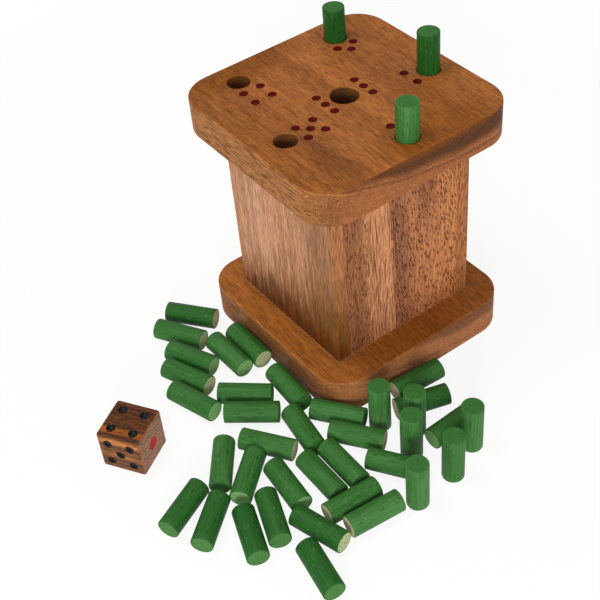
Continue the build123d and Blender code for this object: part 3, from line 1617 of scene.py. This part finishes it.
@dataclass
class Studio:
    """A white paper sweep under soft light.

    Attributes:
        paper: finish of the floor.
        lamps: the softboxes.
        floor_size: side of the floor, in mm.
        sky: strength of the light from all round.
    """

    paper: WhitePaper
    lamps: tuple[SoftLamp, ...]
    floor_size: float = 9000.0
    sky: float = 0.62

    def build(self) -> None:
        """Makes the floor, the light from all round and the lamps."""
        self._floor()
        self._sky()
        for lamp in self.lamps:
            lamp.build()
        bpy.context.scene.view_settings.view_transform = "Standard"

    def _floor(self) -> None:
        """Lays the paper on the table."""
        built = bmesh.new()
        bmesh.ops.create_grid(built, x_segments=4, y_segments=4, size=self.floor_size / 2 * MM)
        floor = new_object("paper_floor", new_mesh("paper_floor", built))
        floor.data.materials.append(self.paper.build())

    def _sky(self) -> None:
        """Lights the scene from all round with a sky that is white where it is seen."""
        world = bpy.data.worlds.new("studio_sky")
        world.use_nodes = True
        nodes = Graph(world.node_tree)
        seen = (seen_directly(nodes), 0.0, 1.0, self.sky, 1.0)
        strength = nodes.add("MapRange", seen, **SOFT_STEP)
        light = nodes.add("Background", {"Color": (1, 1, 1, 1), "Strength": strength})
        nodes.add("OutputWorld", {"Surface": light})
        bpy.context.scene.world = world


# Fine pores all over the lid and base, and the band along Y of the coarser ones on their front edge
BOARD_PORES = (Pores(0.45, 6.0, 0.42, 0.65), Pores(0.35, 3.0, 0.3, 0.6), Pores(0.8, 5.0, 0.25, 0.5))
FRONT_EDGE = (-60.0, -50.8)

LID_WOOD = RainTreeWood(
    name="rain_tree_lid",
    grain=Grain.X,
    seed=3.0,
    pale="#ab6932",
    body="#995725",
    deep="#7a4519",
    pore="#3d1e09",
    pith=(0.0, 28.0, 360.0),
    ring=1.3,
    ring_share=0.4,
    pores=(*BOARD_PORES, Pores(1.1, 6.5, 0.6, 0.85, zone=FRONT_EDGE)),
    contrast=0.3,
    lean=1.0,
    worn=0.12,
    faces=(
        FaceTone(RIGHT, "#a8683f", 0.8),
        FaceTone(FRONT, "#ad7444", 0.8),
    ),
    streaks=(
        # Heartwood arcs on the right end, thick at the far side
        Streak(0.0, 187.5, 1.0, 3.0, "#482814", 0.9, centre=(0.0, 30.0, 302.0), facing=RIGHT),
        Streak(189.5, 190.8, 0.5, 0.7, "#6d4026", 0.7, centre=(0.0, 30.0, 302.0), facing=RIGHT),
        # Golden margins along the back and the front
        Streak(38.0, 60.0, 8.0, 2.0, "#975a16", 0.25, facing=UP),
        Streak(-60.0, -36.0, 2.0, 6.0, "#844d18", 0.5, facing=UP),
    ),
    patches=(
        Patch((31.0, -30.0, 125.0), (38.0, 11.0, 5.0), "#643a17", 0.5, 0.1),
        Patch((46.0, 10.0, 125.0), (20.0, 44.0, 5.0), "#844705", 0.7, 0.2),
        Patch((-54.0, -22.0, 125.0), (24.0, 40.0, 5.0), "#7a4202", 0.85, 0.5),
        Patch((50.0, -47.0, 116.0), (14.0, 14.0, 12.0), "#6d4528", 0.5, 0.2),
    ),
    bored=BoredInside((-50.0, -46.0, 108.4), (50.0, 49.0, 124.5), "#5a391c"),
)

BASE_WOOD = RainTreeWood(
    name="rain_tree_base",
    grain=Grain.X,
    seed=11.0,
    pale="#aa672b",
    body="#985823",
    deep="#7f4715",
    pore="#3f1f0a",
    pith=(0.0, 40.0, 220.0),
    ring=1.8,
    ring_share=0.4,
    pores=(*BOARD_PORES, Pores(1.1, 6.5, 0.5, 0.85, zone=FRONT_EDGE)),
    contrast=0.27,
    lean=1.0,
    worn=0.12,
    faces=(
        FaceTone(RIGHT, "#b97a50", 0.8),
        FaceTone(FRONT, "#a36b40", 0.7),
    ),
    streaks=(
        # Heartwood arc on the right end
        Streak(0.0, 147.0, 1.0, 2.0, "#6b4027", 0.8, centre=(0.0, 40.0, 157.0), facing=RIGHT),
        Streak(36.0, 60.0, 9.0, 2.0, "#844a12", 0.5, facing=UP),
    ),
    patches=(
        # Painted shade of the lid's overhang on the right strip of the base's top
        Patch((46.0, 5.0, 18.0), (14.0, 50.0, 4.0), "#7c4112", 0.5, 0.3),
        # Painted shade on the base's front side, where the pegs lie close
        Patch((14.0, -51.5, 8.0), (62.0, 8.0, 12.0), "#4f3214", 0.75, 0.2, FRONT),
    ),
)

FRONT_WOOD = RainTreeWood(
    name="rain_tree_front_wall",
    grain=Grain.Z,
    seed=21.0,
    pale="#d39f7e",
    body="#c38c67",
    deep="#a06c47",
    pore="#66391d",
    pith=(-10.0, 40.0, 0.0),
    ring=1.0,
    ring_share=0.45,
    pores=(Pores(0.45, 9.0, 0.5, 0.65), Pores(0.55, 6.0, 0.35, 0.45)),
    contrast=0.31,
    lean=0.8,
    faces=(FaceTone(RIGHT, "#a4673b", 0.85),),
    streaks=(
        Streak(20.0, 45.0, 9.0, 1.5, "#7f5330", 0.55, across=RIGHT, facing=FRONT),
    ),
    patches=(
        # Painted shade: the foot is darker brown, most of all towards the corner with the right wall
        Patch((44.0, -38.5, 8.0), (98.0, 30.0, 68.0), "#724516", 0.8, 0.4),
        Patch((0.0, -38.5, 4.0), (90.0, 30.0, 42.0), "#4c2402", 0.9, 0.4),
    ),
)

RIGHT_WOOD = RainTreeWood(
    name="rain_tree_right_wall",
    grain=Grain.Z,
    seed=31.0,
    pale="#c5845a",
    body="#b4734a",
    deep="#935839",
    pore="#4a2110",
    pith=(-90.0, 12.0, 0.0),
    ring=1.8,
    ring_share=0.35,
    pores=(
        Pores(0.8, 3.6, 0.75, 0.9, zone=(-37.0, -18.0)),
        Pores(0.5, 12.0, 0.8, 0.8, zone=(-20.0, -3.0)),
        Pores(0.95, 3.8, 0.8, 0.9, 16.0, (-6.0, 40.0)),
        Pores(0.4, 3.0, 0.35, 0.6),
    ),
    contrast=0.33,
    lean=2.0,
    streaks=(
        Streak(-37.0, -19.5, 1.0, 2.4, "#7d5034", 0.7),
        Streak(-20.0, -6.5, 2.0, 1.0, "#c98a60", 0.75),
        Streak(-5.8, 2.4, 0.9, 3.4, "#84543a", 0.8),
        Streak(18.0, 40.0, 8.0, 2.0, "#ba7642", 0.6),
    ),
    patches=(
        Patch((37.5, 13.5, 92.0), (8.0, 9.0, 34.0), "#7b4932", 0.7, 0.2),
        # Painted shade: the foot is darker, most of all at the corner with the front wall
        Patch((37.5, -34.0, 12.0), (20.0, 46.0, 36.0), "#5f3413", 0.6, 0.1),
        Patch((37.5, 20.0, 10.0), (20.0, 40.0, 26.0), "#8a4c22", 0.5, 0.3),
    ),
)

BACK_WOOD = RainTreeWood(
    name="rain_tree_back_wall",
    grain=Grain.Z,
    seed=41.0,
    pale="#bd8459",
    body="#a96e43",
    deep="#8b5632",
    pore="#573019",
    pith=(14.0, -30.0, 0.0),
    ring=1.7,
    ring_share=0.45,
    pores=(Pores(0.85, 4.0, 0.7, 0.85), Pores(0.5, 8.0, 0.5, 0.6)),
    contrast=0.26,
    faces=(FaceTone(RIGHT, "#b06e40", 0.8),),
    streaks=(Streak(-16.0, -7.0, 1.0, 4.0, "#7d5338", 0.5, across=RIGHT),),
    # Painted shade: darker towards the foot
    patches=(Patch((0.0, 38.5, 12.0), (90.0, 30.0, 30.0), "#6f421d", 0.6, 0.3),),
)

LEFT_WOOD = RainTreeWood(
    name="rain_tree_left_wall",
    grain=Grain.Z,
    seed=51.0,
    pale="#bf865d",
    body="#ad7248",
    deep="#8f5936",
    pore="#573019",
    pith=(30.0, -14.0, 0.0),
    ring=2.0,
    ring_share=0.45,
    pores=(Pores(0.9, 4.0, 0.75, 0.85), Pores(0.5, 8.0, 0.5, 0.6)),
    contrast=0.26,
    streaks=(Streak(6.0, 15.0, 1.0, 4.0, "#7e533c", 0.6),),
    # Painted shade: darker towards the foot
    patches=(Patch((-37.5, 0.0, 12.0), (30.0, 80.0, 30.0), "#6f421d", 0.6, 0.3),),
)

PLUG_WOOD = RainTreeWood(
    name="rain_tree_locating_board",
    grain=Grain.X,
    seed=61.0,
    pale="#ba7e50",
    body="#a5693d",
    deep="#88522c",
    pore="#56331c",
    pith=(0.0, -20.0, 240.0),
    ring=1.6,
    pores=(Pores(0.9, 5.0, 0.6, 0.6),),
    roughness=0.6,
)

DIE_WOOD = RainTreeWood(
    name="dark_rain_tree_heartwood_die",
    grain=Grain.X,
    seed=71.0,
    pale="#7d451c",
    body="#533019",
    deep="#2c190c",
    pore="#180d06",
    pith=(0.0, 16.0, 38.0),
    ring=0.8,
    ring_share=0.65,
    pores=(Pores(0.4, 3.0, 0.6, 0.75), Pores(0.7, 2.0, 0.4, 0.7)),
    contrast=0.35,
    lean=1.6,
    roughness=0.45,
    worn=0.2,
    faces=(
        FaceTone(RIGHT, "#b07f63", 0.85),
        FaceTone(LEFT, "#a3714f", 0.7),
        FaceTone(FRONT, "#8a5836", 0.6),
    ),
    streaks=(
        Streak(5.8, 8.9, 0.5, 1.0, "#c27a40", 0.75, across=UP, facing=FRONT),
        Streak(-2.2, 0.4, 0.8, 0.8, "#ad6a36", 0.6, across=UP, facing=FRONT),
        Streak(-8.3, -5.2, 1.0, 1.0, "#a45a19", 0.7, facing=UP),
    ),
    patches=(Patch((10.5, 0.0, 0.0), (6.0, 16.0, 16.0), "#b28166", 0.6, 0.5, RIGHT),),
    centre=(8.0, -131.5, 10.5),
    turn=32.0,
)

DOT_PAINT = Enamel("maroon_enamel", "#480804", "#6a1a10", roughness=0.5, shine=0.04)
PIP_PAINT = Enamel("black_enamel", "#040202", "#150b07", roughness=0.12, shine=0.16)
ONE_PAINT = Enamel("brick_red_enamel", "#a81f19", "#b5503c", roughness=0.5, shine=0.2)


def main() -> None:
    """Builds the game, sub-assembly by sub-assembly, then the studio round it."""
    logging.basicConfig(level=logging.INFO, format="%(name)s: %(message)s")
    camera = PhotoCamera()
    camera.build()
    Box(BASE_WOOD, FRONT_WOOD, RIGHT_WOOD, BACK_WOOD, LEFT_WOOD).build()
    Lid(LID_WOOD, PLUG_WOOD, DOT_PAINT).build()
    Die(DIE_WOOD, PIP_PAINT, ONE_PAINT).build()
    PegSet(DyedDowel(), camera.back()).build()
    lamps = (
        SoftLamp("overhead_softbox", (-150.0, -250.0, 900.0), (20.0, -40.0, 30.0), size=220.0, power=2.4),
        SoftLamp("front_softbox", (850.0, -700.0, 450.0), (20.0, -40.0, 40.0), size=300.0, power=7.2),
    )
    Studio(WhitePaper(), lamps).build()


if __name__ == "__main__":
    main()
